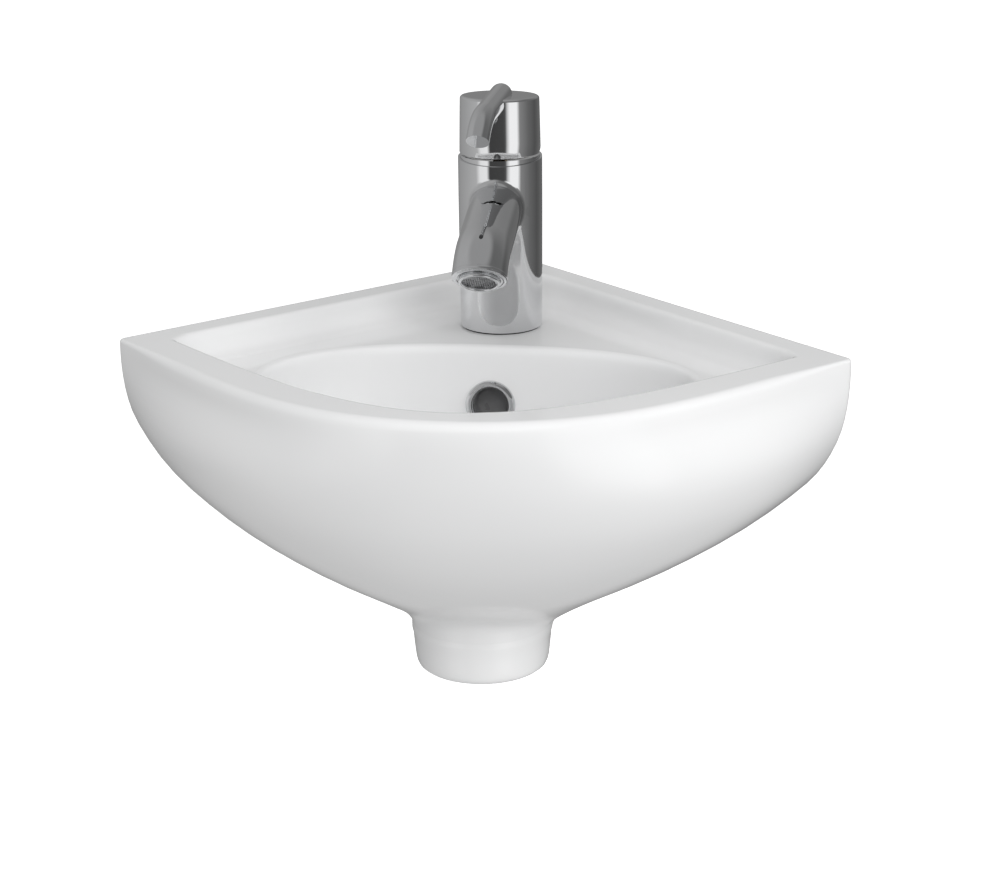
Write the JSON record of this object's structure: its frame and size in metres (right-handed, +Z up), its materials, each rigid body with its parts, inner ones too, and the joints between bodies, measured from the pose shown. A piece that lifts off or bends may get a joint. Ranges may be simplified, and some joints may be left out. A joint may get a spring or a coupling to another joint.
{
  "type": "wall-hung corner basin with mixer tap",
  "caption": "Wall-hung white ceramic corner basin, curved front, oval bowl in a recessed deck, short waste skirt, and a chrome single-lever mixer tap.",
  "frame": {"origin": "room corner of the rim, where the two wall faces and the rim's top meet", "axes": "+X right along the front, seen from the room; +Y back into the room corner; +Z up"},
  "size_m": [0.4004, 0.3333, 0.3099],
  "materials": {
    "glaze": "gloss",
    "chrome": "polished",
    "rubber": "matte",
    "brass": "machined",
    "steel": "machined",
    "white_plastic": "satin",
    "grey_plastic": "gloss",
    "disc_ceramic": "ground flat"
  },
  "bodies": {
    "basin_and_tap": {"basin": "glaze", "overflow_ring": "chrome", "waste_body": "chrome", "waste_top_seal": "rubber", "waste_bottom_seal": "rubber", "waste_back_nut": "brass", "waste_latch": "white_plastic", "waste_spring": "steel", "tap_body": "chrome", "tap_base_seal": "rubber", "tap_fixing_stud": "brass", "horseshoe_gasket": "rubber", "horseshoe_washer": "steel", "fixing_nut": "brass", "cartridge_port_seals": "rubber", "cartridge_base": "white_plastic", "fixed_disc": "disc_ceramic", "cartridge_housing": "white_plastic", "retaining_nut": "brass", "trim_sleeve": "chrome", "aerator_housing": "chrome", "aerator_screen": "grey_plastic", "aerator_seal": "rubber"},
    "swivel": {"spindle_guide": "white_plastic", "spindle_pin": "steel"},
    "handle": {"spindle": "brass", "handle_cap": "chrome", "handle_lever": "chrome", "grub_screw": "steel", "grub_screw_cover": "grey_plastic"},
    "discs": {"disc_carrier": "white_plastic", "moving_disc": "disc_ceramic"},
    "plug": {"waste_plug": "chrome", "waste_plug_seal": "rubber", "waste_stem": "steel"}
  },
  "joints": [
    {"name": "handle_turn", "type": "hinge", "parent": "basin_and_tap", "child": "swivel", "pos_m": [0, -0.104, 0.077], "axis": [0, 0, 1], "range_deg": [-42, 48]},
    {"name": "handle_lift", "type": "hinge", "parent": "swivel", "child": "handle", "pos_m": [0, -0.104, 0.077], "axis": [-0.9986, 0.0523, 0], "range_deg": [0, 18]},
    {"name": "disc_slide", "type": "slide", "parent": "swivel", "child": "discs", "axis": [-0.0523, -0.9986, 0], "range_m": [0, 0.0039]},
    {"name": "plug_press", "type": "slide", "parent": "basin_and_tap", "child": "plug", "axis": [0, 0, 1], "range_m": [-0.009, 0], "stiffness_N_per_m": 300, "springref_m": 0.006, "deforming": ["waste_spring"]}
  ],
  "couplings": [
    {"joint": "disc_slide", "follows": "handle_lift", "m_per_rad": 0.0122}
  ]
}
